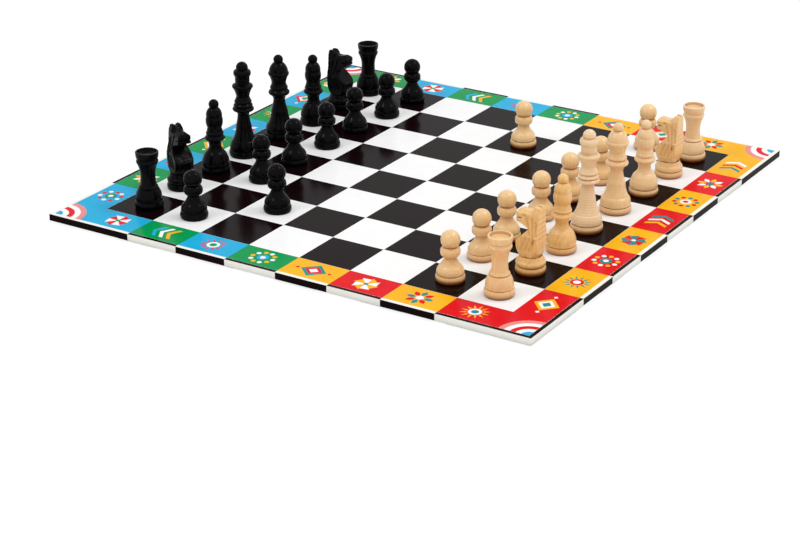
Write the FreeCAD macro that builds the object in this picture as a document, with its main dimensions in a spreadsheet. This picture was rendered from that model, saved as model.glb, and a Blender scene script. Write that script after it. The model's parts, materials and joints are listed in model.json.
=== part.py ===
import FreeCAD, Part
import Sketcher
import math
import os

# Driving dimensions in millimetres, one sheet cell each
SIZES = {
    # Board: both playing fields cover the same area
    "square": 37.5,
    "border_width": 23.5,
    "rim_width": 2.5,
    "core_thickness": 4.0,
    "paper_thickness": 0.3,
    "ink_depth": 0.1,
    "ink_gap": 0.1,
    "overrun": 5.0,
    # Turned foot that every man has
    "groove_width": 0.6,
    # Pawn
    "pawn_height": 32.0,
    "pawn_foot_radius": 9.1,
    "pawn_foot_height": 4.2,
    "pawn_neck_radius": 3.8,
    "pawn_collar_radius": 6.1,
    "pawn_head_radius": 5.95,
    # Rook
    "rook_height": 38.0,
    "rook_foot_radius": 9.3,
    "rook_foot_height": 4.9,
    "rook_neck_radius": 4.85,
    "rook_rim_radius": 7.5,
    "rook_rim_wall": 1.1,
    "rook_dish_depth": 2.0,
    # Knight: turned foot and carved head
    "knight_height": 43.0,
    "knight_foot_radius": 9.4,
    "knight_foot_height": 4.3,
    "knight_seat_height": 11.0,
    "knight_seat_radius": 7.0,
    "knight_back": 7.2,
    "knight_muzzle": 8.2,
    "knight_chest": 8.8,
    "knight_half_width": 6.6,
    "knight_barrel_radius": 9.2,
    "knight_tenon_radius": 3.0,
    "knight_tenon_length": 5.0,
    "knight_glue_gap": 0.1,
    "knight_notch_radius": 0.8,
    "knight_flute_radius": 1.0,
    "knight_eye_radius": 0.9,
    "knight_ear_gap_radius": 1.3,
    "knight_mouth_gap": 0.6,
    # Bishop
    "bishop_height": 50.5,
    "bishop_foot_radius": 9.7,
    "bishop_foot_height": 4.2,
    "bishop_neck_radius": 4.1,
    "bishop_collar_radius": 6.9,
    "bishop_mitre_radius": 5.5,
    "bishop_finial_radius": 3.4,
    # Queen
    "queen_height": 60.0,
    "queen_foot_radius": 10.4,
    "queen_foot_height": 4.5,
    "queen_neck_radius": 4.0,
    "queen_collar_radius": 7.3,
    "queen_crown_radius": 7.2,
    "queen_finial_radius": 3.4,
    # King
    "king_height": 66.5,
    "king_foot_radius": 10.5,
    "king_foot_height": 4.5,
    "king_neck_radius": 3.9,
    "king_collar_radius": 7.3,
    "king_crown_radius": 7.15,
    "king_finial_radius": 4.1,
}
CHESS_COUNT = 8
DRAUGHTS_COUNT = 10

doc = FreeCAD.newDocument("chess_and_draughts_set")
sheet = doc.addObject("Spreadsheet::Sheet", "Sizes")
for row, (alias, length) in enumerate(SIZES.items(), start=1):
    sheet.set(f"A{row}", alias)
    sheet.set(f"B{row}", str(length))
    sheet.setAlias(f"B{row}", alias)
doc.recompute()


# A length together with the cell expression that drives it
class Size:
    def __init__(self, value, text):
        self.value = value
        self.text = text

    def __add__(self, other):
        return Size(self.value + other.value, f"({self.text} + {other.text})")

    def __sub__(self, other):
        return Size(self.value - other.value, f"({self.text} - {other.text})")

    def __mul__(self, share):
        return Size(self.value * share, f"({self.text} * {share!r})")

    def __neg__(self):
        return Size(-self.value, f"(-{self.text})")

    def times(self, other):
        return Size(self.value * other.value, f"({self.text} * {other.text})")


def size(alias):
    return Size(float(sheet.get(alias)), f"{sheet.Name}.{alias}")


ZERO = Size(0.0, "0")
SQUARE = size("square")
OVERRUN = size("overrun")
INK = size("ink_depth")
PAPER = size("paper_thickness")
FIELD_HALF = SQUARE * (CHESS_COUNT / 2)
SHEET_HALF = FIELD_HALF + size("border_width")
BOARD_HALF = SHEET_HALF + size("rim_width")
BOARD_TOP = size("core_thickness") + PAPER * 2


# Parts that are written to files, by label
sub_parts = []


def finish(item, label):
    item.Label = label
    sub_parts.append(item)
    return item


def place(item, across, along, up, degrees=0, axis=(0, 0, 1)):
    turn = FreeCAD.Rotation(FreeCAD.Vector(*axis), degrees)
    item.Placement = FreeCAD.Placement(FreeCAD.Vector(0, 0, 0), turn)
    item.setExpression(".Placement.Base.x", across.text)
    item.setExpression(".Placement.Base.y", along.text)
    item.setExpression(".Placement.Base.z", up.text)
    return item


# Sketched outlines: points with a bulge share for the edge that leaves each of them
def arc_radius(start, end, bulge):
    across = end[0] - start[0]
    up = end[1] - start[1]
    chord_squared = across.times(across) + up.times(up)
    chord = Size(math.sqrt(chord_squared.value), f"sqrt({chord_squared.text})")
    return chord * (1 / (8 * abs(bulge)) + abs(bulge) / 2)


def edge_curve(start, end, bulge):
    first = FreeCAD.Vector(start[0].value, start[1].value, 0)
    last = FreeCAD.Vector(end[0].value, end[1].value, 0)
    if not bulge:
        return Part.LineSegment(first, last)
    chord = last - first
    middle = (first + last) * 0.5 + FreeCAD.Vector(chord.y, -chord.x, 0) * bulge
    if bulge < 0:
        return Part.Arc(last, middle, first)
    return Part.Arc(first, middle, last)


def sketch_outline(body, plane_role, points):
    sketch = body.newObject("Sketcher::SketchObject", body.Name + "_outline")
    plane = [p for p in body.Origin.OriginFeatures if p.Role == plane_role][0]
    sketch.AttachmentSupport = (plane, "")
    sketch.MapMode = "FlatFace"
    followers = points[1:] + points[:1]
    curves = [edge_curve(point, follower, point[2]) for point, follower in zip(points, followers)]
    # A hollow arc is drawn from its far end, so its first point is its second vertex
    starts = [2 if point[2] < 0 else 1 for point in points]
    rules = []
    driven = []
    for index, point in enumerate(points):
        before = (index - 1) % len(points)
        rules.append(Sketcher.Constraint("Coincident", before, 3 - starts[before], index, starts[index]))
        for kind, axis, length in (("DistanceX", -2, point[0]), ("DistanceY", -1, point[1])):
            if length is ZERO:
                rules.append(Sketcher.Constraint("PointOnObject", index, starts[index], axis))
                continue
            driven.append((len(rules), length.text))
            rules.append(Sketcher.Constraint(kind, -1, 1, index, starts[index], length.value))
        if point[2]:
            radius = arc_radius(point, followers[index], point[2])
            driven.append((len(rules), radius.text))
            rules.append(Sketcher.Constraint("Radius", index, radius.value))
    sketch.addGeometry(curves, False)
    sketch.addConstraint(rules)
    for rule, text in driven:
        sketch.setExpression(f"Constraints[{rule}]", text)
    return sketch


def turned_body(name, points):
    body = doc.addObject("PartDesign::Body", name)
    sketch = sketch_outline(body, "XZ_Plane", points)
    turning = body.newObject("PartDesign::Revolution", name + "_turning")
    turning.Profile = sketch
    turning.ReferenceAxis = (sketch, ["V_Axis"])
    turning.Angle = 360
    sketch.Visibility = False
    return body


def padded_body(name, plane_role, points, depth):
    body = doc.addObject("PartDesign::Body", name)
    sketch = sketch_outline(body, plane_role, points)
    pad = body.newObject("PartDesign::Pad", name + "_pad")
    pad.Profile = sketch
    pad.SideType = "Symmetric"
    pad.setExpression("Length", depth.text)
    sketch.Visibility = False
    return body


# Plain solids, cuts and groups
def box(name, low, high):
    block = doc.addObject("Part::Box", name)
    for extent, start, end in zip(("Length", "Width", "Height"), low, high):
        block.setExpression(extent, (end - start).text)
    return place(block, *low)


def slab(name, half, low, high):
    return box(name, (-half, -half, low), (half, half, high))


def cylinder(name, radius, length):
    rod = doc.addObject("Part::Cylinder", name)
    rod.setExpression("Radius", radius.text)
    rod.setExpression("Height", length.text)
    return rod


def cut(name, base, tool):
    result = doc.addObject("Part::Cut", name)
    result.Base = base
    result.Tool = tool
    result.Refine = True
    return result


def group(name, items):
    result = doc.addObject("Part::Compound", name)
    result.Links = items
    return result


# Turned men: rows of (named radius, share of it, share of the height from foot to finial, bulge share)
FOOT_EDGE_SHARE = 0.94
FOOT_BULGE_SHARE = 0.13
GROOVE_SHARE = 0.89
GROOVE_MIDDLE_SHARE = 0.5
# Small flat that parting off leaves on top of a ball
BALL_FLAT_SHARE = 0.05
PAWN_SHARES = (
    ("foot", 0.92, 0.00, 0.12),
    ("foot", 0.71, 0.30, -0.05),
    ("neck", 1.00, 0.56, 0.00),
    ("neck", 1.04, 0.61, 0.16),
    ("collar", 1.00, 0.79, 0.16),
)
PAWN_BALL_SHARE = 0.72
BISHOP_SHARES = (
    ("foot", 0.93, 0.000, 0.08),
    ("foot", 0.84, 0.150, 0.08),
    ("foot", 0.60, 0.240, -0.10),
    ("neck", 1.00, 0.350, 0.00),
    ("neck", 1.05, 0.380, -0.12),
    ("collar", 0.91, 0.445, 0.28),
    ("collar", 0.91, 0.495, 0.00),
    ("collar", 0.80, 0.525, 0.20),
    ("collar", 0.78, 0.580, 0.00),
    ("mitre", 0.86, 0.655, 0.10),
    ("mitre", 0.96, 0.840, 0.14),
)
BISHOP_BALL_SHARE = 0.80
QUEEN_SHARES = (
    ("foot", 0.93, 0.000, 0.08),
    ("foot", 0.85, 0.105, 0.00),
    ("foot", 0.78, 0.115, -0.05),
    ("foot", 0.56, 0.300, -0.03),
    ("neck", 1.00, 0.465, 0.00),
    ("neck", 1.08, 0.485, -0.12),
    ("collar", 0.92, 0.540, 0.25),
    ("collar", 0.92, 0.590, 0.00),
    ("collar", 0.78, 0.612, 0.22),
    ("collar", 0.77, 0.660, 0.00),
    ("crown", 0.69, 0.700, -0.05),
    ("crown", 0.94, 0.815, 0.22),
    ("crown", 0.92, 0.865, 0.12),
)
QUEEN_BALL_SHARE = 0.85
KING_SHARES = (
    ("foot", 0.93, 0.000, 0.08),
    ("foot", 0.80, 0.105, 0.00),
    ("foot", 0.76, 0.112, -0.05),
    ("foot", 0.50, 0.290, -0.02),
    ("neck", 1.00, 0.435, 0.00),
    ("neck", 1.08, 0.450, -0.12),
    ("collar", 0.93, 0.485, 0.27),
    ("collar", 0.93, 0.520, 0.00),
    ("collar", 0.83, 0.530, 0.24),
    ("collar", 0.83, 0.565, 0.00),
    ("collar", 0.74, 0.578, 0.24),
    ("collar", 0.74, 0.615, 0.00),
    ("crown", 0.62, 0.660, -0.05),
    ("crown", 0.93, 0.770, 0.22),
    ("crown", 0.93, 0.808, 0.00),
    ("crown", 0.68, 0.825, 0.00),
    ("crown", 0.70, 0.885, -0.10),
    ("crown", 0.77, 0.925, 0.14),
    ("crown", 0.77, 0.985, 0.00),
)
KING_BALL_SHARE = 0.96
ROOK_SHARES = (
    ("foot", 0.92, 0.000, 0.08),
    ("foot", 0.72, 0.230, 0.00),
    ("neck", 1.24, 0.243, 0.25),
    ("neck", 1.22, 0.285, 0.00),
    ("neck", 1.10, 0.315, -0.02),
    ("neck", 1.00, 0.500, -0.06),
    ("rim", 0.91, 0.765, 0.15),
    ("rim", 0.92, 0.830, 0.00),
    ("rim", 0.88, 0.855, 0.00),
    ("rim", 0.95, 0.880, 0.03),
    ("rim", 1.00, 0.980, 0.20),
    ("rim", 0.96, 1.000, 0.00),
)
ROOK_DISH_WALL_SHARE = 0.92
ROOK_DISH_CORNER_SHARE = 0.75
ROOK_DISH_FLOOR_SHARE = 0.40
ROOK_DISH_BULGE_SHARE = 0.06
KNIGHT_FOOT_SHARES = (
    ("foot", 0.92, 0.00, 0.22),
    ("foot", 0.86, 0.58, 0.00),
    ("seat", 1.03, 0.92, 0.00),
)


def foot_points(kind):
    foot = size(kind + "_foot_radius")
    rise = size(kind + "_foot_height")
    return [
        (ZERO, ZERO, 0.0),
        (foot * FOOT_EDGE_SHARE, ZERO, FOOT_BULGE_SHARE),
        (foot * FOOT_EDGE_SHARE, rise, 0.0),
        (foot * GROOVE_SHARE, rise + size("groove_width") * GROOVE_MIDDLE_SHARE, 0.0),
    ]


def stem_points(kind, rows_shares, top):
    bottom = size(kind + "_foot_height") + size("groove_width")
    span = top - bottom
    return [
        (size(f"{kind}_{name}_radius") * radius_share, bottom + span * height_share, bulge_share)
        for name, radius_share, height_share, bulge_share in rows_shares
    ]


def ball_points(kind, name, start_share):
    ball = size(f"{kind}_{name}_radius")
    height = size(kind + "_height")
    sweep = math.acos(start_share) + math.acos(BALL_FLAT_SHARE)
    rise_share = math.sqrt(1 - start_share ** 2) + math.sqrt(1 - BALL_FLAT_SHARE ** 2)
    return [
        (ball * start_share, height - ball * rise_share, math.tan(sweep / 4) / 2),
        (ball * BALL_FLAT_SHARE, height, 0.0),
        (ZERO, height, 0.0),
    ]


def ball_topped_points(kind, rows_shares, name, start_share):
    top = ball_points(kind, name, start_share)
    return foot_points(kind) + stem_points(kind, rows_shares, top[0][1]) + top


def rook_points():
    height = size("rook_height")
    mouth = size("rook_rim_radius") - size("rook_rim_wall")
    depth = size("rook_dish_depth")
    corner = height - depth * ROOK_DISH_CORNER_SHARE
    dish = [
        (mouth, height, 0.0),
        (mouth * ROOK_DISH_WALL_SHARE, corner, -ROOK_DISH_BULGE_SHARE),
        (mouth * ROOK_DISH_FLOOR_SHARE, height - depth, 0.0),
        (ZERO, height - depth, 0.0),
    ]
    return foot_points("rook") + stem_points("rook", ROOK_SHARES, height) + dish


def knight_foot_points():
    seat = size("knight_seat_height")
    gap = size("knight_glue_gap")
    bore = size("knight_tenon_radius") + gap
    bottom = seat - size("knight_tenon_length") - gap
    socket = [
        (size("knight_seat_radius"), seat, 0.0),
        (bore, seat, 0.0),
        (bore, bottom, 0.0),
        (ZERO, bottom, 0.0),
    ]
    return foot_points("knight") + stem_points("knight", KNIGHT_FOOT_SHARES, seat) + socket


TURNED_POINTS = {
    "pawn": lambda: ball_topped_points("pawn", PAWN_SHARES, "head", PAWN_BALL_SHARE),
    "rook": rook_points,
    "bishop": lambda: ball_topped_points("bishop", BISHOP_SHARES, "finial", BISHOP_BALL_SHARE),
    "queen": lambda: ball_topped_points("queen", QUEEN_SHARES, "finial", QUEEN_BALL_SHARE),
    "king": lambda: ball_topped_points("king", KING_SHARES, "finial", KING_BALL_SHARE),
}


# Carved knight head, facing +Y: side, front and barrel outlines meet in one block
# Side outline rows: (named reach, share of it, share of the head's height, bulge share)
SIDE_SHARES = (
    ("back", -0.84, 0.00, 0.00),
    ("chest", 0.72, 0.00, 0.06),
    ("chest", 1.00, 0.33, -0.07),
    ("muzzle", 0.34, 0.54, 0.00),
    ("muzzle", 0.90, 0.67, 0.12),
    ("muzzle", 1.00, 0.74, 0.08),
    ("muzzle", 0.96, 0.88, 0.14),
    ("muzzle", 0.62, 0.92, -0.06),
    ("muzzle", 0.02, 0.90, -0.14),
    ("back", -0.50, 1.00, 0.00),
    ("back", -0.92, 1.00, 0.20),
    ("back", -1.00, 0.96, 0.00),
    ("back", -1.00, 0.25, 0.04),
)
# Front outline rows: (share of the half width, share of the head's height)
FRONT_SHARES = ((0.95, 0.00), (1.00, 0.12), (1.00, 0.42), (0.74, 0.62), (0.66, 0.88), (0.46, 1.00))
# Barrel outline rows: (named radius, share of it, share of the head's height, bulge share)
BARREL_SHARES = (
    ("seat", 0.98, 0.00, 0.10),
    ("barrel", 1.00, 0.33, 0.00),
    ("barrel", 1.00, 1.00, 0.00),
)
MANE_COUNT = 6
MANE_FIRST_SHARE = 0.36
MANE_STEP_SHARE = 0.10
NOTCH_OUT_SHARE = 0.4
FLUTE_FORWARD_SHARES = (-0.20, 0.12, 0.44)
FLUTE_START_SHARE = 0.12
FLUTE_LENGTH_SHARE = 0.30
FLUTE_OUT_SHARE = 0.4
FLUTE_LEAN_DEGREES = 22
EYE_FORWARD_SHARE = 0.36
EYE_HEIGHT_SHARE = 0.815
EYE_SIDE_SHARE = 0.70
MOUTH_FORWARD_SHARE = 0.55
MOUTH_HEIGHT_SHARE = 0.745


def knight_head_level(height_share):
    seat = size("knight_seat_height")
    return seat + (size("knight_height") - seat) * height_share


def knight_side_points():
    return [
        (size("knight_" + name) * reach_share, knight_head_level(height_share), bulge_share)
        for name, reach_share, height_share, bulge_share in SIDE_SHARES
    ]


def knight_front_points():
    half = size("knight_half_width")
    right = [(half * across, knight_head_level(up), 0.0) for across, up in FRONT_SHARES]
    left = [(half * -across, knight_head_level(up), 0.0) for across, up in reversed(FRONT_SHARES)]
    return right + left


def knight_barrel_points():
    wall = [
        (size(f"knight_{name}_radius") * radius_share, knight_head_level(height_share), bulge_share)
        for name, radius_share, height_share, bulge_share in BARREL_SHARES
    ]
    return [(ZERO, knight_head_level(0), 0.0)] + wall + [(ZERO, knight_head_level(1), 0.0)]


def mane_notches(name):
    half = size("knight_half_width")
    notch = size("knight_notch_radius")
    depth = size("knight_back") + notch * NOTCH_OUT_SHARE
    notches = []
    for index in range(MANE_COUNT):
        level = knight_head_level(MANE_FIRST_SHARE + MANE_STEP_SHARE * index)
        rod = cylinder(f"{name}_mane_{index}", notch, half * 2)
        notches.append(place(rod, -half, -depth, level, 90, (0, 1, 0)))
    return notches


def chest_flutes(name, side):
    flute = size("knight_flute_radius")
    across = (size("knight_half_width") + flute * FLUTE_OUT_SHARE) * side
    length = (size("knight_height") - size("knight_seat_height")) * FLUTE_LENGTH_SHARE
    level = knight_head_level(FLUTE_START_SHARE)
    flutes = []
    for index, forward_share in enumerate(FLUTE_FORWARD_SHARES):
        forward = size("knight_chest") * forward_share
        rod = cylinder(f"{name}_flute_{index}", flute, length)
        flutes.append(place(rod, across, forward, level, FLUTE_LEAN_DEGREES, (1, 0, 0)))
    return flutes


def eye_hollow(name, side):
    eye = doc.addObject("Part::Sphere", name + "_eye")
    eye.setExpression("Radius", size("knight_eye_radius").text)
    across = size("knight_half_width") * (EYE_SIDE_SHARE * side)
    return place(eye, across, size("knight_muzzle") * EYE_FORWARD_SHARE, knight_head_level(EYE_HEIGHT_SHARE))


def ear_gap(name):
    back = size("knight_back")
    rod = cylinder(name + "_ears", size("knight_ear_gap_radius"), back * 2)
    return place(rod, ZERO, back, knight_head_level(1), 90, (1, 0, 0))


def mouth_slot(name):
    half = size("knight_half_width")
    muzzle = size("knight_muzzle")
    start = muzzle * MOUTH_FORWARD_SHARE
    low = knight_head_level(MOUTH_HEIGHT_SHARE)
    high = low + size("knight_mouth_gap")
    return box(name + "_mouth", (-half, start, low), (half, start + muzzle, high))


def knight_head(name):
    half = size("knight_half_width")
    side = padded_body(name + "_side", "YZ_Plane", knight_side_points(), half * 2)
    front = padded_body(name + "_front", "XZ_Plane", knight_front_points(), size("knight_barrel_radius") * 2)
    block = doc.addObject("Part::MultiCommon", name + "_block")
    block.Shapes = [side, front, turned_body(name + "_barrel", knight_barrel_points())]
    length = size("knight_tenon_length")
    tenon = cylinder(name + "_tenon", size("knight_tenon_radius"), length)
    blank = doc.addObject("Part::Fuse", name + "_blank")
    blank.Base = block
    blank.Tool = place(tenon, ZERO, ZERO, size("knight_seat_height") - length)
    cuts = mane_notches(name) + [ear_gap(name), mouth_slot(name)]
    for side_sign in (-1, 1):
        cuts += chest_flutes(name, side_sign) + [eye_hollow(name, side_sign)]
    return cut(name, blank, group(name + "_chisel", cuts))


# Men on the chess face: places in squares, with hand-set standing offsets as shares of a square
BACK_RANK = ("rook_1", "knight_1", "bishop_1", "king", "queen", "bishop_2", "knight_2", "rook_2")
PAWN_RANK = tuple(f"pawn_{number}" for number in range(1, CHESS_COUNT + 1))
PAWN_ADVANCE = {"white_pawn_7": 2, "black_pawn_2": 1}
STAND_SHARES = {
    "white_rook_1": (-0.06, 0.00),
    "white_knight_1": (0.00, 0.03),
    "white_bishop_1": (0.00, 0.01),
    "white_king": (0.02, 0.08),
    "white_queen": (0.00, 0.04),
    "white_rook_2": (-0.02, 0.01),
    "white_pawn_1": (0.03, -0.05),
    "white_pawn_2": (0.05, -0.03),
    "white_pawn_3": (-0.02, 0.03),
    "white_pawn_4": (0.05, -0.03),
    "white_pawn_5": (0.08, -0.03),
    "white_pawn_6": (0.07, -0.11),
    "white_pawn_7": (-0.02, -0.06),
    "white_pawn_8": (0.02, -0.07),
    "black_rook_1": (-0.03, -0.06),
    "black_knight_1": (-0.03, 0.01),
    "black_bishop_1": (-0.05, -0.02),
    "black_king": (-0.12, 0.02),
    "black_queen": (-0.02, 0.00),
    "black_bishop_2": (-0.05, -0.10),
    "black_knight_2": (-0.06, -0.05),
    "black_rook_2": (-0.08, -0.06),
    "black_pawn_2": (-0.02, -0.04),
    "black_pawn_5": (0.03, -0.02),
    "black_pawn_7": (0.00, -0.07),
    "black_pawn_8": (-0.03, -0.04),
}


# White faces +Y and Black faces -Y, one knight stands turned further
FACING_DEGREES = {"white": 0, "black": 180}
TURNED_DEGREES = {"black_knight_1": -28}


def stand(item, label, colour, file_index, rank_index):
    right_share, far_share = STAND_SHARES.get(label, (0.0, 0.0))
    middle = (CHESS_COUNT - 1) / 2
    rank = rank_index if colour == "white" else CHESS_COUNT - 1 - rank_index
    across = SQUARE * (file_index - middle + right_share)
    along = SQUARE * (rank - middle + far_share)
    place(item, across, along, BOARD_TOP, FACING_DEGREES[colour] + TURNED_DEGREES.get(label, 0))


def make_men(colour):
    for rank_index, names in enumerate((BACK_RANK, PAWN_RANK)):
        for file_index, name in enumerate(names):
            label = f"{colour}_{name}"
            kind = name.split("_")[0]
            rank = rank_index + PAWN_ADVANCE.get(label, 0)
            if kind == "knight":
                pieces = {
                    label + "_foot": turned_body(label + "_foot", knight_foot_points()),
                    label + "_head": knight_head(label + "_head"),
                }
            else:
                pieces = {label: turned_body(label, TURNED_POINTS[kind]())}
            for piece_label, piece in pieces.items():
                stand(piece, label, colour, file_index, rank)
                finish(piece, piece_label)


# Printed cells of the board: the end cells of a side run on to the given reach
def cell_span(index, count, reach):
    pitch = FIELD_HALF * (2 / count)
    low = -reach if index == 0 else pitch * (index - count / 2)
    high = reach if index == count - 1 else pitch * (index + 1 - count / 2)
    return low, high


def field_ink(name, count, dark_parity, low, high):
    gap = size("ink_gap")
    squares = []
    for column in range(count):
        for rank in range(count):
            if (column + rank) % 2 != dark_parity:
                continue
            left, right = cell_span(column, count, FIELD_HALF)
            near, far = cell_span(rank, count, FIELD_HALF)
            corners = ((left + gap, near + gap, low), (right - gap, far - gap, high))
            squares.append(box(name + "_square", *corners))
    return finish(group(name, squares), name)


# Border cells: colour names from -X to +X on the front and back sides, from -Y to +Y on the others
CHESS_BORDER = {
    "front": ("red", "amber", "red", "amber", "red", "amber", "red", "amber"),
    "back": ("blue", "green", "blue", "green", "blue", "green", "blue", "green"),
    "left": ("red", "amber", "red", "amber", "green", "blue", "green", "blue"),
    "right": ("amber", "red", "amber", "green", "blue", "green", "blue", "green"),
}
DRAUGHTS_SIDE = ("red", "amber", "teal", "amber", "red", "amber", "teal", "amber", "red", "red")
DRAUGHTS_BORDER = {side: DRAUGHTS_SIDE for side in ("front", "back", "left", "right")}


def border_ink(prefix, sides, count, low, high):
    inner = FIELD_HALF
    outer = SHEET_HALF - size("ink_gap")
    cells = {}
    for side, colours in sides.items():
        for index, colour in enumerate(colours):
            if side in ("front", "back"):
                start, end = cell_span(index, count, outer)
                near, far = (-outer, -inner) if side == "front" else (inner, outer)
                corners = ((start, near, low), (end, far, high))
            else:
                start, end = cell_span(index, count, inner)
                left, right = (-outer, -inner) if side == "left" else (inner, outer)
                corners = ((left, start, low), (right, end, high))
            label = f"{prefix}_{colour}"
            cells.setdefault(label, []).append(box(label + "_cell", *corners))
    return [finish(group(label, boxes), label) for label, boxes in cells.items()]


# Dark cells of the bindings: walls follow the chess squares, the chess rim is the reverse of the walls
def binding_ink():
    low = BOARD_TOP - INK
    cells = []
    for end_side in (0, 1):
        for index in range(CHESS_COUNT):
            if (index + end_side * (CHESS_COUNT - 1)) % 2 == 1:
                cells += wall_cells(index, end_side)
            else:
                cells += rim_cells(index, CHESS_COUNT, end_side, low, BOARD_TOP)
        for index in range(DRAUGHTS_COUNT):
            if (index + end_side * (DRAUGHTS_COUNT - 1)) % 2 == 0:
                cells += rim_cells(index, DRAUGHTS_COUNT, end_side, ZERO, INK)
    return finish(group("binding_black", cells), "binding_black")


# Wall cells stop short of each other's edges, but run right to the corners of the board
def wall_cells(index, end_side):
    gap = size("ink_gap")
    start, end = cell_span(index, CHESS_COUNT, BOARD_HALF + gap)
    short_start, short_end = cell_span(index, CHESS_COUNT, BOARD_HALF - INK + gap)
    low = INK
    high = BOARD_TOP - INK
    near, far = (BOARD_HALF - INK, BOARD_HALF) if end_side else (-BOARD_HALF, INK - BOARD_HALF)
    return [
        box("wall_cell", (start + gap, near, low), (end - gap, far, high)),
        box("wall_cell", (near, short_start + gap, low), (far, short_end - gap, high)),
    ]


def rim_cells(index, count, end_side, low, high):
    start, end = cell_span(index, count, BOARD_HALF)
    short_start, short_end = cell_span(index, count, SHEET_HALF)
    near, far = (SHEET_HALF, BOARD_HALF) if end_side else (-BOARD_HALF, -SHEET_HALF)
    return [
        box("rim_cell", (start, near, low), (end, far, high)),
        box("rim_cell", (near, short_start, low), (far, short_end, high)),
    ]


def make_bindings():
    ink = binding_ink()
    outer = slab("binding_outer", BOARD_HALF, ZERO, BOARD_TOP)
    core_room = slab("binding_core_room", BOARD_HALF - PAPER, PAPER, BOARD_TOP - PAPER)
    window = slab("binding_window", SHEET_HALF, -OVERRUN, BOARD_TOP + OVERRUN)
    ring = cut("binding_ring", cut("binding_shell", outer, core_room), window)
    reach = BOARD_HALF + OVERRUN
    for number, side in enumerate(("right", "back", "left", "front")):
        label = "binding_" + side
        corner = [(ZERO, ZERO, 0.0), (reach, -reach, 0.0), (reach, reach, 0.0)]
        wedge = padded_body(label + "_mitre", "XY_Plane", corner, (BOARD_TOP + OVERRUN) * 2)
        wedge.Placement.Rotation = FreeCAD.Rotation(FreeCAD.Vector(0, 0, 1), 90 * number)
        strip = doc.addObject("Part::Common", label + "_strip")
        strip.Base = ring
        strip.Tool = wedge
        finish(cut(label, strip, ink), label)


# One printed face: its ink lies flush in its paper sheet
def make_face(game, count, dark_parity, border, paper_span, ink_span):
    inks = [field_ink(game + "_black_squares", count, dark_parity, *ink_span)]
    inks += border_ink(game + "_border", border, count, *ink_span)
    paper = slab(game + "_paper", SHEET_HALF, *paper_span)
    label = game + "_face_sheet"
    finish(cut(label, paper, group(game + "_ink", inks)), label)


def make_board():
    top_paper = (BOARD_TOP - PAPER, BOARD_TOP)
    top_ink = (BOARD_TOP - INK, BOARD_TOP)
    finish(slab("board_core", BOARD_HALF - PAPER, PAPER, BOARD_TOP - PAPER), "board_core")
    make_face("chess", CHESS_COUNT, 1, CHESS_BORDER, top_paper, top_ink)
    make_face("draughts", DRAUGHTS_COUNT, 0, DRAUGHTS_BORDER, (ZERO, PAPER), (ZERO, INK))
    make_bindings()


make_board()
make_men("white")
make_men("black")
doc.recompute()

for item in doc.Objects:
    if "Invalid" in item.State or "Error" in item.State:
        raise RuntimeError(f"{item.Label} failed: {item.State}")
for item in sub_parts:
    if item.Shape.isNull() or not item.Shape.isValid():
        raise RuntimeError(f"{item.Label} has no valid shape")
os.makedirs("parts", exist_ok=True)
for item in sub_parts:
    item.Shape.exportStep(os.path.join("parts", item.Label + ".step"))
print(len(sub_parts), "sub-parts written")
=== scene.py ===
import json
import math

import bmesh
import bpy
from mathutils import Matrix, Vector, noise


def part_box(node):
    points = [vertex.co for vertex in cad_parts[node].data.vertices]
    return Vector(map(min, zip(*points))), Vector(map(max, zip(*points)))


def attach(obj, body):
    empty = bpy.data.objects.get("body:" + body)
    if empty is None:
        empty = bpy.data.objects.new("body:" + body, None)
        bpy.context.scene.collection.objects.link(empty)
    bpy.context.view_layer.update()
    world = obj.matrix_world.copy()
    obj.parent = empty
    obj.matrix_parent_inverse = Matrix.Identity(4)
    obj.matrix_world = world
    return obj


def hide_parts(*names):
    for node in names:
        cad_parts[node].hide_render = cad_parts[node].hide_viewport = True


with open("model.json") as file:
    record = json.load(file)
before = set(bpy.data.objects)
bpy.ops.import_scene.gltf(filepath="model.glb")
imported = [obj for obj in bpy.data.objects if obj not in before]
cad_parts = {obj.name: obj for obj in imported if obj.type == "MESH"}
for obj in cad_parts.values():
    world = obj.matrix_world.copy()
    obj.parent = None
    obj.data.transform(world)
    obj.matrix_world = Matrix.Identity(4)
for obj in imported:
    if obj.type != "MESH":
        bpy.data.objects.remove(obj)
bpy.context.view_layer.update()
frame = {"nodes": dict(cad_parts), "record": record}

NODES = frame["nodes"]
BODIES = frame["record"]["behaviour"]["bodies"]
MEN = [body for body in BODIES if body != "board"]

# Sizes in metres, taken from the frame
MM = 0.001
BOARD_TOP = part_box("chess_face_sheet")[1][2]
SHEET_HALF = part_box("chess_face_sheet")[1][0]
INK_GAP = 0.1 * MM
FIELD_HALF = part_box("chess_black_squares")[1][0] + INK_GAP
BORDER_WIDTH = SHEET_HALF - FIELD_HALF
BORDER_MIDDLE = (SHEET_HALF + FIELD_HALF) / 2

# Camera of the photograph: place, aim on the board's face, roll and focal length
CAMERA_PLACE = Vector((-1.1662, -0.7111, 0.5369 + BOARD_TOP))
CAMERA_AIM = Vector((-0.1450, -0.0696, BOARD_TOP))
CAMERA_ROLL = math.radians(-0.168)
PICTURE_WIDTH_PX = 800
FOCAL_PX = 2210.85
SENSOR_MM = 36.0


# Colours are written as they look, in sRGB from 0 to 255
def linear(colour):
    def channel(value):
        share = value / 255
        return share / 12.92 if share <= 0.04045 else ((share + 0.055) / 1.055) ** 2.4

    return tuple(channel(value) for value in colour) + (1.0,)


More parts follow.
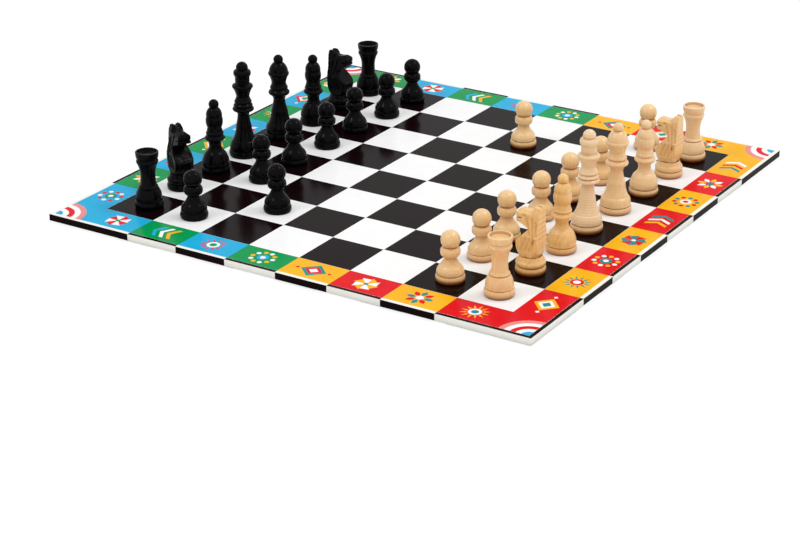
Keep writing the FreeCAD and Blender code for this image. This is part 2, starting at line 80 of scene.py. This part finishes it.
# Node tree of a material or of the world, built by short calls
class Graph:
    def __init__(self, owner):
        owner.use_nodes = True
        self.owner = owner
        self.tree = owner.node_tree

    def feed(self, socket, value):
        if isinstance(value, bpy.types.NodeSocket):
            self.tree.links.new(value, socket)
        else:
            socket.default_value = value

    def node(self, kind, inputs, **settings):
        node = self.tree.nodes.new("ShaderNode" + kind)
        for key, value in settings.items():
            setattr(node, key, value)
        for key, value in inputs.items():
            self.feed(node.inputs[key], value)
        return node

    def math(self, operation, first, second=0.0):
        return self.node("Math", {0: first, 1: second}, operation=operation).outputs[0]

    def ramp(self, share, stops):
        node = self.node("ValToRGB", {"Fac": share})
        elements = node.color_ramp.elements
        while len(elements) < len(stops):
            elements.new(1.0)
        for element, (position, colour) in zip(elements, stops):
            element.position = position
            element.color = colour
        return node.outputs["Color"]

    def mix(self, share, first, second):
        node = self.node("Mix", {}, data_type="RGBA")
        for socket, value in zip((node.inputs[0], node.inputs[6], node.inputs[7]), (share, first, second)):
            self.feed(socket, value)
        return node.outputs[2]

    def noise(self, vector, scale, detail, roughness, seed=None):
        inputs = {"Vector": vector, "Scale": scale, "Detail": detail, "Roughness": roughness}
        if seed is None:
            return self.node("TexNoise", inputs).outputs["Fac"]
        inputs["W"] = seed
        return self.node("TexNoise", inputs, noise_dimensions="4D").outputs["Fac"]

    def stretched(self, vector, scales):
        return self.node("Mapping", {"Vector": vector, "Scale": scales}).outputs["Vector"]

    def remap(self, value, low, high, new_low, new_high):
        inputs = {0: value, 1: low, 2: high, 3: new_low, 4: new_high}
        return self.node("MapRange", inputs).outputs[0]

    def bump(self, height, depth, normal=None):
        inputs = {"Height": height, "Distance": depth, "Strength": 1.0}
        if normal is not None:
            inputs["Normal"] = normal
        return self.node("Bump", inputs).outputs["Normal"]

    def object_vector(self):
        return self.node("TexCoord", {}).outputs["Object"]

    def finish(self, **inputs):
        shader = self.tree.nodes["Principled BSDF"]
        for key, value in inputs.items():
            self.feed(shader.inputs[key.replace("_", " ")], value)
        return self.owner


def material_graph(name):
    return Graph(bpy.data.materials.new(name))


# Turned and carved wood: growth rings about a pith beside the man, long fibres, lathe marks
SEED_SPAN = 40.0
PITH_OFFSET = 16 * MM
RING_STRETCH = (1.0, 1.0, 0.06)
RING_SCALE = 150.0
FIBRE_STRETCH = (1100.0, 1100.0, 26.0)
FIBRE_DEPTH = 0.02 * MM
LATHE_SCALE = 200.0
LATHE_DEPTH = 0.012 * MM
CLOUD_SCALE = 55.0
GROOVE_REACH = 6.0 * MM
GROOVE_SAMPLES = 8


def wood_pattern(graph):
    place = graph.object_vector()
    seed = graph.math("MULTIPLY", graph.node("ObjectInfo", {}).outputs["Random"], SEED_SPAN)
    toward = graph.node("CombineXYZ", {"X": graph.math("SINE", seed), "Y": graph.math("COSINE", seed)})
    pith = graph.node("VectorMath", {0: toward.outputs[0], "Scale": PITH_OFFSET}, operation="SCALE")
    shifted = graph.node("VectorMath", {0: place, 1: pith.outputs[0]}).outputs[0]
    ring_inputs = {
        "Vector": graph.stretched(shifted, RING_STRETCH),
        "Scale": RING_SCALE,
        "Distortion": 2.2,
        "Detail": 2.0,
        "Detail Scale": 1.4,
    }
    lathe_inputs = {"Vector": place, "Scale": LATHE_SCALE, "Distortion": 1.5, "Detail": 2.0}
    rings = graph.node("TexWave", ring_inputs, wave_type="RINGS", rings_direction="Z", wave_profile="SAW")
    lathe = graph.node("TexWave", lathe_inputs, wave_type="BANDS", bands_direction="Z")
    return {
        "rings": rings.outputs["Fac"],
        "lathe": lathe.outputs["Fac"],
        "fibre": graph.noise(graph.stretched(place, FIBRE_STRETCH), 1.0, 3.0, 0.6, seed),
        "cloud": graph.noise(place, CLOUD_SCALE, 2.0, 0.5, seed),
    }


def wood_normal(graph, pattern):
    turned = graph.bump(pattern["lathe"], LATHE_DEPTH)
    return graph.bump(pattern["fibre"], FIBRE_DEPTH, turned)


# How open a spot lies, as a share: low in grooves and under collars. On natural wood it sets where shade is
# painted, and on black wood where the colour turns browner
def open_share(graph):
    inputs = {"Distance": GROOVE_REACH}
    return graph.node("AmbientOcclusion", inputs, samples=GROOVE_SAMPLES).outputs["AO"]


# Natural wood: its colours, painted shade among them, and the ranges of a pattern with the shares or values
# at their ends
NATURAL_COLOURS = {
    "light": (252, 210, 136),
    "middle": (246, 193, 106),
    "dark": (228, 165, 74),
    "pale": (255, 235, 198),
    "ringed": (228, 184, 130),
    "clouded": (232, 182, 114),
    # Painted shade: orange mixed in where a spot is less open, under collars and balls and where parts meet
    "shaded": (210, 136, 44),
    # Dark varnish gathered in the grooves, deepened with painted shade
    "groove": (128, 62, 22),
}
NATURAL_RANGES = {
    "clouded": (0.3, 0.7, 0.0, 0.35),
    "shaded": (0.50, 1.00, 1.00, 0.0),
    "groove": (0.38, 0.80, 0.95, 0.0),
    "roughness": (0.3, 0.7, 0.36, 0.50),
}
RING_SHARE = 0.25
LATHE_SHARE = 0.6


def natural_wood():
    graph = material_graph("natural_wood")
    pattern = wood_pattern(graph)
    colours = {name: linear(colour) for name, colour in NATURAL_COLOURS.items()}
    tone = graph.node("Attribute", {}, attribute_type="OBJECT", attribute_name="tone").outputs["Fac"]
    ring_part = graph.math("MULTIPLY", pattern["rings"], RING_SHARE)
    fibre_part = graph.math("MULTIPLY", pattern["fibre"], 1 - RING_SHARE)
    grain = graph.math("ADD", ring_part, fibre_part)
    body = graph.ramp(grain, ((0.20, colours["light"]), (0.50, colours["middle"]), (0.80, colours["dark"])))
    pale = graph.mix(tone, body, colours["pale"])
    lathe_part = graph.math("MULTIPLY", pattern["lathe"], graph.math("MULTIPLY", tone, LATHE_SHARE))
    ringed = graph.mix(lathe_part, pale, colours["ringed"])
    cloud_part = graph.remap(pattern["cloud"], *NATURAL_RANGES["clouded"])
    clouded = graph.mix(cloud_part, ringed, colours["clouded"])
    # Painted shade from the open share: first the shaded colour, then the groove colour
    openness = open_share(graph)
    shaded = graph.mix(graph.remap(openness, *NATURAL_RANGES["shaded"]), clouded, colours["shaded"])
    # Groove colour: gathered varnish and painted shade together, strongest where a spot is least open
    colour = graph.mix(graph.remap(openness, *NATURAL_RANGES["groove"]), shaded, colours["groove"])
    return graph.finish(
        Base_Color=colour,
        Roughness=graph.remap(pattern["fibre"], *NATURAL_RANGES["roughness"]),
        Normal=wood_normal(graph, pattern),
        Specular_IOR_Level=0.55,
        Coat_Weight=0.90,
        Coat_Roughness=0.28,
        Subsurface_Weight=0.06,
        Subsurface_Scale=0.6 * MM,
    )


# Black lacquered wood, likewise
BLACK_COLOURS = {"dark": (4, 3, 6), "light": (9, 7, 9), "groove": (10, 5, 4)}
BLACK_RANGES = {"groove": (0.2, 0.8, 0.6, 0.0), "roughness": (0.3, 0.7, 0.17, 0.27)}


def black_wood():
    graph = material_graph("black_wood")
    pattern = wood_pattern(graph)
    colours = {name: linear(colour) for name, colour in BLACK_COLOURS.items()}
    body = graph.ramp(pattern["fibre"], ((0.30, colours["dark"]), (0.70, colours["light"])))
    # Browner where a spot is less open, in grooves and under collars
    groove = graph.remap(open_share(graph), *BLACK_RANGES["groove"])
    return graph.finish(
        Base_Color=graph.mix(groove, body, colours["groove"]),
        Roughness=graph.remap(pattern["cloud"], *BLACK_RANGES["roughness"]),
        Normal=wood_normal(graph, pattern),
        Specular_IOR_Level=0.06,
        Coat_Weight=0.01,
        Coat_Roughness=0.12,
    )


# Printed and varnished paper: fine paper tooth, cloudy ink film, uneven gloss
FILM_SCALE = 90.0
FILM_RANGE = (0.3, 0.7, 0.0, 0.55)
SPECK_SCALE = 5200.0
SPECK_RANGE = (0.55, 0.75, 0.0, 0.35)
TOOTH_SCALE = 2600.0
TOOTH_DEPTH = 0.002 * MM
PRINT_ROUGHNESS_RANGE = (0.3, 0.7, 0.09, 0.19)
PRINT_SPECULAR = 0.028
INKS = {
    "white": ((252, 252, 252), (246, 246, 246)),
    "cream": ((250, 249, 242), (242, 240, 230)),
    "black": ((20, 6, 8), (14, 3, 5)),
    "red": ((232, 24, 36), (216, 14, 28)),
    "amber": ((253, 190, 34), (248, 174, 24)),
    "green": ((8, 158, 84), (2, 142, 74)),
    "blue": ((40, 180, 226), (28, 166, 216)),
    "teal": ((24, 150, 154), (14, 132, 138)),
    "pink": ((240, 150, 146), (230, 132, 130)),
}


def print_film(ink):
    graph = material_graph(ink + "_print")
    plain, deep = (linear(colour) for colour in INKS[ink])
    place = graph.object_vector()
    cloud = graph.noise(place, FILM_SCALE, 3.0, 0.55)
    tooth = graph.noise(place, TOOTH_SCALE, 2.0, 0.5)
    speck = graph.noise(place, SPECK_SCALE, 1.0, 0.5)
    film = graph.mix(graph.remap(cloud, *FILM_RANGE), plain, deep)
    return graph.finish(
        Base_Color=graph.mix(graph.remap(speck, *SPECK_RANGE), film, deep),
        Roughness=graph.remap(tooth, *PRINT_ROUGHNESS_RANGE),
        Normal=graph.bump(tooth, TOOTH_DEPTH),
        Specular_IOR_Level=PRINT_SPECULAR,
    )


# Grey pasteboard of the core
PULP_STRETCH = (1.0, 1.0, 4.0)
PULP_SCALE = 900.0
PULP_DEPTH = 0.05 * MM
PULP_STOPS = ((0.30, (150, 146, 138)), (0.70, (190, 186, 176)))


def greyboard():
    graph = material_graph("greyboard")
    pulp = graph.noise(graph.stretched(graph.object_vector(), PULP_STRETCH), PULP_SCALE, 4.0, 0.65)
    return graph.finish(
        Base_Color=graph.ramp(pulp, [(share, linear(colour)) for share, colour in PULP_STOPS]),
        Roughness=0.9,
        Normal=graph.bump(pulp, PULP_DEPTH),
        Specular_IOR_Level=0.2,
    )


PRINTS = {ink: print_film(ink) for ink in INKS}
WOODS = {"white": natural_wood(), "black": black_wood()}
CORE = greyboard()


# The sheets are white and the bindings cream, and the other nodes of the board are ink
def board_material(node):
    if node == "board_core":
        return CORE
    if node.endswith("face_sheet"):
        return PRINTS["white"]
    if node.endswith("black_squares"):
        return PRINTS["black"]
    return PRINTS.get(node.split("_")[-1], PRINTS["cream"])


def dress(piece, material):
    piece.data.materials.clear()
    piece.data.materials.append(material)


def add_piece(name, mesh, material, body):
    piece = bpy.data.objects.new(name, mesh)
    bpy.context.scene.collection.objects.link(piece)
    dress(piece, material)
    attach(piece, body)
    return piece


# Prism between two rings of points
def add_prism(shape, start, end):
    near, far = ([shape.verts.new(point) for point in ring] for ring in (start, end))
    shape.faces.new(near)
    shape.faces.new(reversed(far))
    for index in range(len(near)):
        beyond = (index + 1) % len(near)
        shape.faces.new((near[index], near[beyond], far[beyond], far[index]))


def finished_mesh(name, shape):
    bmesh.ops.recalc_face_normals(shape, faces=shape.faces)
    mesh = bpy.data.meshes.new(name)
    shape.to_mesh(mesh)
    shape.free()
    return mesh


# Carved heads: the node's own shape with its edges worn round and the flats of a knife
CARVE_VOXEL = 0.26 * MM
CARVE_SMOOTHING = 4
FACET_SCALE = 420.0
FACET_DEPTH = 0.07 * MM

# Heads at home stand on the z axis and face +Y, and these are the turns to where the men look
FACING_DEGREES = {"white": 0, "black": 180, "black_knight_1": 152}

# Knife strokes on both sides of a head, each from one (forward, height) to another, in millimetres
STROKES = (
    ((-2.6, 40.5), (-4.4, 25.0)),
    ((-5.0, 38.5), (-5.9, 30.0)),
    ((1.6, 42.0), (0.2, 36.5)),
    ((0.2, 36.5), (-1.6, 30.5)),
)
STROKE_DEPTH = 0.6 * MM
STROKE_REACH = 0.85 * MM
SIDE_FROM = 2.5 * MM
SIDE_LEAN_SHARE = 0.5

# Back of the mane, whose notches are partly filled
BACK = 7.12 * MM
BACK_FROM = 6.3 * MM
BACK_HEIGHTS = (25 * MM, 45 * MM)
BACK_FILL_SHARE = 0.7

# Cuts in millimetres: the throat across a head, as (forward, height), and the slopes beside its brow,
# as (sideways, height), with how far each reaches
THROAT = ((-0.6, 33.8), (6.8, 25.8), (12.0, 22.0), (12.0, 38.0), (5.0, 36.6))
THROAT_SPAN = (-12.0, 12.0)
SLOPE = ((1.5, 45.0), (6.5, 41.0), (6.5, 50.0), (1.5, 50.0))
SLOPE_SPAN = (-2.4, 12.0)


def stroke_share(spot, start, end):
    line = end - start
    share = min(max((spot - start).dot(line) / line.length_squared, 0.0), 1.0)
    return max(0.0, 1.0 - (spot - start - line * share).length / STROKE_REACH)


def head_home(node):
    man = node.rsplit("_", 1)[0]
    facing = math.radians(FACING_DEGREES.get(man, FACING_DEGREES[man.split("_")[0]]))
    low, high = (Vector(corner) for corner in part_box(man + "_foot"))
    return Matrix.Translation((low + high).xy.to_3d() / 2) @ Matrix.Rotation(facing, 4, "Z")


# A point at home after the knife strokes and the filling of the notches
def carved_point(local, leaning):
    spot = local.yz
    if abs(local.x) > SIDE_FROM and abs(leaning) > SIDE_LEAN_SHARE:
        cut = max(stroke_share(spot, Vector(start) * MM, Vector(end) * MM) for start, end in STROKES)
        local.x -= math.copysign(STROKE_DEPTH * cut, local.x)
    if -local.y > BACK_FROM and BACK_HEIGHTS[0] < local.z < BACK_HEIGHTS[1]:
        local.y += (-BACK - local.y) * BACK_FILL_SHARE
    return local


def chisel_mesh():
    prisms = [[[(across, forward, height) for forward, height in THROAT] for across in THROAT_SPAN]]
    for side in (-1, 1):
        prisms.append([[(side * x, forward, height) for x, height in SLOPE] for forward in SLOPE_SPAN])
    shape = bmesh.new()
    for rings in prisms:
        add_prism(shape, *([Vector(point) * MM for point in ring] for ring in rings))
    return finished_mesh("chisel", shape)


def add_remesh(piece, name):
    remesh = piece.modifiers.new(name, "REMESH")
    remesh.mode = "VOXEL"
    remesh.voxel_size = CARVE_VOXEL


def carved_mesh(node):
    home = head_home(node)
    blank = bpy.data.objects.new(node + "_blank", NODES[node].data.copy())
    chisel = bpy.data.objects.new(node + "_chisel", chisel_mesh())
    blank.data.transform(home.inverted())
    for helper in (blank, chisel):
        bpy.context.scene.collection.objects.link(helper)
    add_remesh(blank, "closed")
    cut = blank.modifiers.new("cut", "BOOLEAN")
    cut.operation = "DIFFERENCE"
    cut.object = chisel
    add_remesh(blank, "even")
    blank.modifiers.new("worn", "SMOOTH").iterations = CARVE_SMOOTHING
    seen = blank.evaluated_get(bpy.context.evaluated_depsgraph_get())
    mesh = bpy.data.meshes.new_from_object(seen)
    for helper in (blank, chisel):
        bpy.data.objects.remove(helper)
    normals = [vertex.normal.copy() for vertex in mesh.vertices]
    points = [vertex.co.copy() for vertex in mesh.vertices]
    for vertex, point, normal in zip(mesh.vertices, points, normals):
        facet = normal * (noise.noise(point * FACET_SCALE) * FACET_DEPTH)
        vertex.co = carved_point(point + facet, normal.x)
    mesh.transform(home)
    mesh.shade_smooth()
    return mesh


# How pale each natural man is, as a share, and the share of all other men
TONE_SHARES = {
    "white_king": 0.70,
    "white_queen": 0.40,
    "white_bishop_1": 0.0,
    "white_bishop_2": 0.50,
    "white_knight_1": 0.05,
    "white_knight_2": 0.25,
    "white_rook_1": 0.25,
    "white_rook_2": 0.60,
}
TONE_SHARE = 0.3

for node in BODIES["board"]:
    dress(NODES[node], board_material(node))
for man in MEN:
    wood = WOODS[man.split("_")[0]]
    for node in BODIES[man]:
        piece = NODES[node]
        if node.endswith("_head"):
            piece = add_piece(node + "_carved", carved_mesh(node), wood, man)
            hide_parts(node)
        else:
            dress(piece, wood)
        piece["tone"] = TONE_SHARES.get(man, TONE_SHARE)

# Border motifs: plain geometric figures, flat on the coloured cells
MOTIF_SINK = 0.04 * MM
MOTIF_LIFT = 0.012 * MM
MOTIF_STEP = 0.006 * MM
MOTIF_HALF_SHARE = 0.39
MOTIF_HALF = MOTIF_HALF_SHARE * BORDER_WIDTH
MOTIF_INKS = {
    "red": ("amber", "white", "teal"),
    "amber": ("teal", "red", "white"),
    "blue": ("red", "white", "green"),
    "green": ("amber", "white", "blue"),
    "teal": ("amber", "white", "red"),
}
SLOT_OF_INK = {ink: ink + "_ink" for ink in ("red", "amber", "green", "blue", "teal")}
SLOT_OF_INK.update(white="printed_paper", pink="red_ink")
DISC_SIDES = 28


# Outlines in units of half a motif, about its middle
def disc(radius, across=0.0, along=0.0):
    turns = [2 * math.pi * side / DISC_SIDES for side in range(DISC_SIDES)]
    return [(across + radius * math.cos(turn), along + radius * math.sin(turn)) for turn in turns]


def diamond(length, width, across=0.0):
    return [(across - length, 0.0), (across, -width), (across + length, 0.0), (across, width)]


def spokes(count, outline):
    outlines = []
    for number in range(count):
        turn = 2 * math.pi * number / count
        cosine, sine = math.cos(turn), math.sin(turn)
        outlines.append([(x * cosine - y * sine, x * sine + y * cosine) for x, y in outline])
    return outlines


# Motifs: each is a list of (ink number, outline), from the lowest layer up
def rosette():
    petal = [(0.30, 0.0), (0.48, -0.17), (0.72, -0.19), (1.0, 0.0), (0.72, 0.19), (0.48, 0.17)]
    return [(number % 2, outline) for number, outline in enumerate(spokes(8, petal))] + [(2, disc(0.27))]


def pinwheel():
    vane = [(0.0, 0.0), (0.95, 0.0), (0.55, 0.55)]
    return [(number % 2, outline) for number, outline in enumerate(spokes(8, vane))] + [(2, disc(0.16))]


def lozenges():
    nested = [(0, diamond(1.0, 0.92)), (1, diamond(0.68, 0.62)), (2, diamond(0.38, 0.34))]
    return nested + [(1, diamond(0.16, 0.16, side * 1.25)) for side in (-1, 1)]


def sunburst():
    ray = [(0.55, -0.09), (1.0, 0.0), (0.55, 0.09)]
    return [(0, outline) for outline in spokes(12, ray)] + [(1, disc(0.46)), (2, disc(0.26))]


def beads():
    middles = spokes(10, [(0.80, 0.0)])
    ring = [(number % 2, disc(0.17, *middle[0])) for number, middle in enumerate(middles)]
    return ring + [(2, disc(0.42)), (1, disc(0.20))]


def chevrons():
    bends = []
    for number, start in enumerate((-0.95, -0.35, 0.25)):
        front = [(start, -0.8), (start + 0.3, -0.8), (start + 0.75, 0.0), (start + 0.3, 0.8), (start, 0.8)]
        bends.append((number, front + [(start + 0.45, 0.0)]))
    return bends


MOTIFS = (rosette, lozenges, sunburst, pinwheel, beads, chevrons)

# Fan of a corner square: quarter discs about the sheet's corner, one on the other
FAN_SHARES = (0.86, 0.70, 0.54, 0.38, 0.22)
FAN_INKS = ("pink", "white", "red", "white", "blue")
FAN_STEPS = 14


def quarter(radius):
    turns = [math.pi / 2 * step / FAN_STEPS for step in range(FAN_STEPS + 1)]
    return [(0.0, 0.0)] + [(radius * math.cos(turn), radius * math.sin(turn)) for turn in turns]


# Printed cells of a border node, as lowest and highest corners
FACING_SHARE = 0.9


def border_cells(node, up):
    mesh = NODES[node].data
    cells = []
    for polygon in mesh.polygons:
        if polygon.normal.z * up < FACING_SHARE:
            continue
        corners = set(polygon.vertices)
        home = next((cell for cell in cells if cell & corners), None)
        if home is None:
            cells.append(corners)
        else:
            home |= corners
    boxes = []
    for cell in cells:
        points = [mesh.vertices[index].co for index in cell]
        low = Vector((min(p.x for p in points), min(p.y for p in points)))
        high = Vector((max(p.x for p in points), max(p.y for p in points)))
        boxes.append((low, high))
    return sorted(boxes, key=lambda box: (round(box[0].x, 4), round(box[0].y, 4)))


# Outline laid on a cell, in the middle of its stretch of the border
def laid_on(low, high, outline):
    middle = (low + high) / 2
    edge = 1 if abs(middle.x) > abs(middle.y) else 0
    along = (max(low[edge], -FIELD_HALF) + min(high[edge], FIELD_HALF)) / 2
    out = math.copysign(BORDER_MIDDLE, middle[1 - edge])
    laid = [(along + x * MOTIF_HALF, out + y * MOTIF_HALF) for x, y in outline]
    return [(y, x) for x, y in laid] if edge == 1 else laid


# Motifs and fans of one face, as one piece for each ink
class Print:
    def __init__(self, game, height, up):
        self.game = game
        self.height = height
        self.up = up
        self.shapes = {}

    def stamp(self, ink, layer, outline):
        if ink not in self.shapes:
            self.shapes[ink] = bmesh.new()
        top = self.height + (MOTIF_LIFT + MOTIF_STEP * layer) * self.up
        bottom = self.height - MOTIF_SINK * self.up
        add_prism(self.shapes[ink], *([(x, y, height) for x, y in outline] for height in (top, bottom)))

    def stamp_motifs(self):
        number = 0
        for node in sorted(BODIES["board"]):
            if not node.startswith(self.game + "_border_"):
                continue
            inks = MOTIF_INKS[node.split("_")[-1]]
            for low, high in border_cells(node, self.up):
                motif = MOTIFS[number % len(MOTIFS)]
                number += 1
                for layer, (ink, outline) in enumerate(motif()):
                    self.stamp(inks[ink], layer, laid_on(low, high, outline))

    def stamp_fans(self):
        corner = SHEET_HALF - INK_GAP
        for right in (-1, 1):
            for far in (-1, 1):
                for layer, (share, ink) in enumerate(zip(FAN_SHARES, FAN_INKS)):
                    outline = quarter(share * BORDER_WIDTH)
                    self.stamp(ink, layer, [(right * (corner - x), far * (corner - y)) for x, y in outline])

    def finish(self):
        for ink, shape in self.shapes.items():
            name = f"{self.game}_motifs_{ink}"
            piece = add_piece(name, finished_mesh(name, shape), PRINTS[ink], "board")


def print_border(game, height, up):
    job = Print(game, height, up)
    job.stamp_motifs()
    job.stamp_fans()
    job.finish()


# Lower border: its cells lie back in their pockets, so that the motifs end flush with the underside
POCKET_REST = 0.005 * MM


def recessed_cells(node):
    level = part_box(node)[1][2] - POCKET_REST
    mesh = NODES[node].data.copy()
    for vertex in mesh.vertices:
        vertex.co.z = max(vertex.co.z, level)
    piece = add_piece(node + "_recessed", mesh, board_material(node), "board")
    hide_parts(node)
    return level


print_border("chess", BOARD_TOP, 1)
levels = [recessed_cells(node) for node in BODIES["board"] if node.startswith("draughts_border_")]
print_border("draughts", min(levels), -1)

# Stage: a pale floor that reads as white, soft sky light and two lamps
FLOOR_HALF = 60.0
FLOOR_DROP = 0.4 * MM
FLOOR_COLOUR = (250, 250, 250)
FLOOR_SHADE = (150, 150, 150)
FLOOR_GLOW = 0.74
UNDER_REACH = 4 * MM
SKY_HEIGHTS = (-0.1, 1.0)
SKY_STRENGTHS = (0.46, 0.92)
LAMP_PLACES = {"key": (0.5, -0.7, 1.5), "fill": (-0.8, 0.5, 1.2)}
LAMP_WIDTHS = {"key": 0.5, "fill": 0.22}
LAMP_WATTS = {"key": 6.4, "fill": 2.6}


# 1 for rays that show the stage as a background: straight, mirrored or through glass
def shown(graph):
    rays = graph.node("LightPath", {}).outputs
    seen = graph.math("MAXIMUM", rays["Is Camera Ray"], rays["Is Glossy Ray"])
    return graph.math("MAXIMUM", seen, rays["Is Transmission Ray"])


# The floor is clear from below, and to the light that leaves the board's underside
def floor_material():
    graph = material_graph("floor")
    graph.tree.nodes.remove(graph.tree.nodes["Principled BSDF"])
    plain = graph.node("BsdfDiffuse", {"Color": linear(FLOOR_COLOUR)}).outputs[0]
    shade = graph.node("BsdfDiffuse", {"Color": linear(FLOOR_SHADE)}).outputs[0]
    glow = graph.node("Emission", {"Strength": FLOOR_GLOW}).outputs[0]
    white = graph.node("AddShader", {0: shade, 1: glow}).outputs[0]
    above = graph.node("MixShader", {0: shown(graph), 1: plain, 2: white}).outputs[0]
    clear = graph.node("BsdfTransparent", {}).outputs[0]
    rays = graph.node("LightPath", {}).outputs
    near = graph.math("LESS_THAN", rays["Ray Length"], UNDER_REACH)
    beneath = graph.math("MULTIPLY", rays["Is Diffuse Ray"], near)
    under = graph.node("NewGeometry", {}).outputs["Backfacing"]
    through = graph.math("MAXIMUM", under, beneath)
    surface = graph.node("MixShader", {0: through, 1: above, 2: clear}).outputs[0]
    graph.feed(graph.tree.nodes["Material Output"].inputs["Surface"], surface)
    return graph.owner


def make_floor():
    mesh = bpy.data.meshes.new("floor")
    signs = ((-1, -1), (1, -1), (1, 1), (-1, 1))
    corners = [(x * FLOOR_HALF, y * FLOOR_HALF, -FLOOR_DROP) for x, y in signs]
    mesh.from_pydata(corners, [], [(0, 1, 2, 3)])
    floor = bpy.data.objects.new("floor", mesh)
    bpy.context.scene.collection.objects.link(floor)
    dress(floor, floor_material())


def make_sky():
    graph = Graph(bpy.data.worlds.new("studio"))
    bpy.context.scene.world = graph.owner
    direction = graph.node("TexCoord", {}).outputs["Generated"]
    height = graph.node("SeparateXYZ", {0: direction}).outputs["Z"]
    rise = graph.remap(height, *SKY_HEIGHTS, *SKY_STRENGTHS)
    sky = graph.tree.nodes["Background"].inputs
    graph.feed(sky["Strength"], graph.math("MAXIMUM", rise, shown(graph)))
    graph.feed(sky["Color"], (1.0, 1.0, 1.0, 1.0))


# A lamp looks at the middle of the board
def make_lamp(name):
    data = bpy.data.lights.new(name, "AREA")
    data.size = LAMP_WIDTHS[name]
    data.energy = LAMP_WATTS[name]
    lamp = bpy.data.objects.new(name, data)
    lamp.location = LAMP_PLACES[name]
    lamp.rotation_euler = (-Vector(LAMP_PLACES[name])).to_track_quat("-Z", "Y").to_euler()
    bpy.context.scene.collection.objects.link(lamp)


def make_camera():
    data = bpy.data.cameras.new("camera")
    data.sensor_fit = "HORIZONTAL"
    data.sensor_width = SENSOR_MM
    data.lens = SENSOR_MM * FOCAL_PX / PICTURE_WIDTH_PX
    camera = bpy.data.objects.new("camera", data)
    bpy.context.scene.collection.objects.link(camera)
    turn = (CAMERA_AIM - CAMERA_PLACE).to_track_quat("-Z", "Y").to_matrix()
    roll = Matrix.Rotation(CAMERA_ROLL, 3, "Z")
    camera.matrix_world = Matrix.Translation(CAMERA_PLACE) @ (turn @ roll).to_4x4()
    bpy.context.scene.camera = camera


make_floor()
make_sky()
for name in LAMP_PLACES:
    make_lamp(name)
make_camera()
bpy.context.scene.view_settings.view_transform = "Standard"
